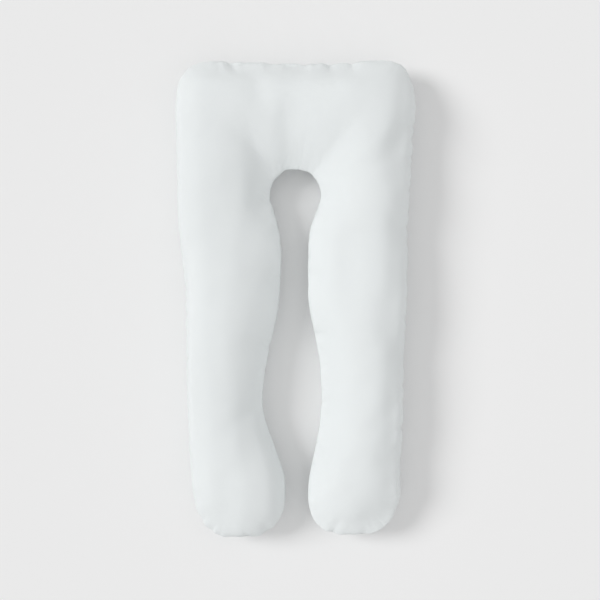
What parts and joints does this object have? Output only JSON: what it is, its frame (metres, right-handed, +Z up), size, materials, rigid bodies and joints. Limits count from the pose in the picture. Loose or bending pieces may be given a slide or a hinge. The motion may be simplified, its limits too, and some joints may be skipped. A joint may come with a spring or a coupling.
{
  "type": "body pillow",
  "caption": "U-shaped full-body pillow: a filled white cushion with a broad head, a round neck hole that opens into a slot, and long legs with swollen round feet.",
  "frame": {"origin": "on the surface that the pillow lies on, under the middle of its length and width", "axes": "+Z up, +Y along the legs towards the head, +X to the right as seen from above with the head away from the viewer"},
  "size_m": [0.7644, 1.5204, 0.1828],
  "materials": {
    "cover": "matte"
  },
  "bodies": {
    "root": {"pillow": "cover"}
  },
  "joints": []
}
